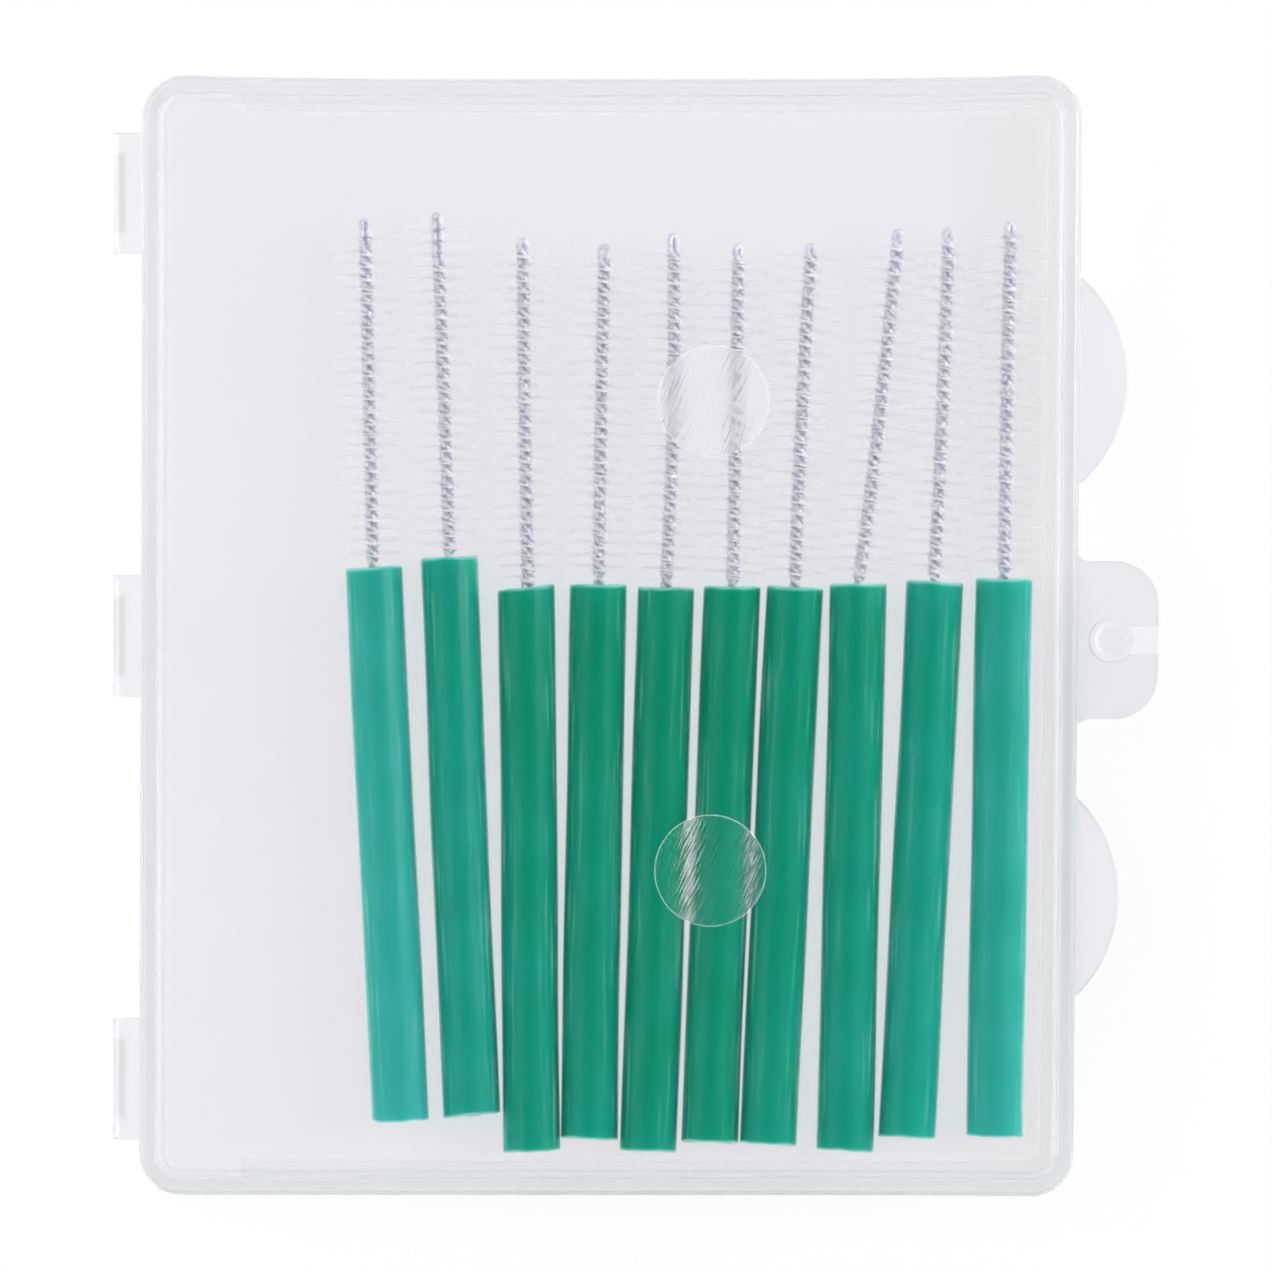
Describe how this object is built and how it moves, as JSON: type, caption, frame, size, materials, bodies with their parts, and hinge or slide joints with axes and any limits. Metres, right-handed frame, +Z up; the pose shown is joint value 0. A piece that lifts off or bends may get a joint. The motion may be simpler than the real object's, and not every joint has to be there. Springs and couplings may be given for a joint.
{
  "type": "interdental brush set in hinged case",
  "caption": "Green-handled interdental brushes with twisted wires and clear bristles, loose in a flat see-through case with strap hinges, finger tabs and a stud latch.",
  "frame": {"origin": "on the table under the middle of the case, at the middle of the tray's flat underside", "axes": "+X from the hinge to the latch, +Y from the handles' cut ends to the wire tips, +Z up through the lid"},
  "size_m": [0.0642, 0.0686, 0.0074],
  "materials": {
    "case": "clear, slightly milky",
    "handle": "satin",
    "wire": "bright drawn",
    "bristle": "clear"
  },
  "bodies": {
    "tray": {"case_tray": "case", "hinge_upper_tray_leaf": "case", "hinge_middle_tray_leaf": "case", "hinge_lower_tray_leaf": "case"},
    "lid": {"case_lid": "case", "hinge_upper_lid_leaf": "case", "hinge_middle_lid_leaf": "case", "hinge_lower_lid_leaf": "case"},
    "brush_01": {"handle_01": "handle", "wire_01": "wire", "bristles_01": "bristle"},
    "brush_02": {"handle_02": "handle", "wire_02": "wire", "bristles_02": "bristle"},
    "brush_03": {"handle_03": "handle", "wire_03": "wire", "bristles_03": "bristle"},
    "brush_04": {"handle_04": "handle", "wire_04": "wire", "bristles_04": "bristle"},
    "brush_05": {"handle_05": "handle", "wire_05": "wire", "bristles_05": "bristle"},
    "brush_06": {"handle_06": "handle", "wire_06": "wire", "bristles_06": "bristle"},
    "brush_07": {"handle_07": "handle", "wire_07": "wire", "bristles_07": "bristle"},
    "brush_08": {"handle_08": "handle", "wire_08": "wire", "bristles_08": "bristle"},
    "brush_09": {"handle_09": "handle", "wire_09": "wire", "bristles_09": "bristle"},
    "brush_10": {"handle_10": "handle", "wire_10": "wire", "bristles_10": "bristle"}
  },
  "joints": [
    {"name": "lid_hinge", "type": "hinge", "parent": "tray", "child": "lid", "pos_m": [-0.03005, 0, 0.0037], "axis": [0, -1, 0], "range_deg": [0, 180]},
    {"name": "brush_slide_01", "type": "slide", "parent": "tray", "child": "brush_01", "axis": [-0.0493, 0.9988, 0], "range_m": [-0.0021, 0.0063]},
    {"name": "brush_slide_02", "type": "slide", "parent": "tray", "child": "brush_02", "axis": [-0.0402, 0.9992, 0], "range_m": [-0.0025, 0.006]},
    {"name": "brush_slide_03", "type": "slide", "parent": "tray", "child": "brush_03", "axis": [-0.0086, 1, 0], "range_m": [-0.0004, 0.0075]},
    {"name": "brush_slide_04", "type": "slide", "parent": "tray", "child": "brush_04", "axis": [0.0172, 0.9999, 0], "range_m": [-0.001, 0.0079]},
    {"name": "brush_slide_05", "type": "slide", "parent": "tray", "child": "brush_05", "axis": [0.0311, 0.9995, 0], "range_m": [-0.0004, 0.0072]},
    {"name": "brush_slide_06", "type": "slide", "parent": "tray", "child": "brush_06", "axis": [0.041, 0.9992, 0], "range_m": [-0.0008, 0.0079]},
    {"name": "brush_slide_07", "type": "slide", "parent": "tray", "child": "brush_07", "axis": [0.048, 0.9988, 0], "range_m": [-0.0006, 0.0078]},
    {"name": "brush_slide_08", "type": "slide", "parent": "tray", "child": "brush_08", "axis": [0.024, 0.9997, 0], "range_m": [-0.0004, 0.007]},
    {"name": "brush_slide_09", "type": "slide", "parent": "tray", "child": "brush_09", "axis": [0.0511, 0.9987, 0], "range_m": [-0.0011, 0.0069]},
    {"name": "brush_slide_10", "type": "slide", "parent": "tray", "child": "brush_10", "axis": [0.0171, 0.9999, 0], "range_m": [-0.0011, 0.0065]}
  ]
}
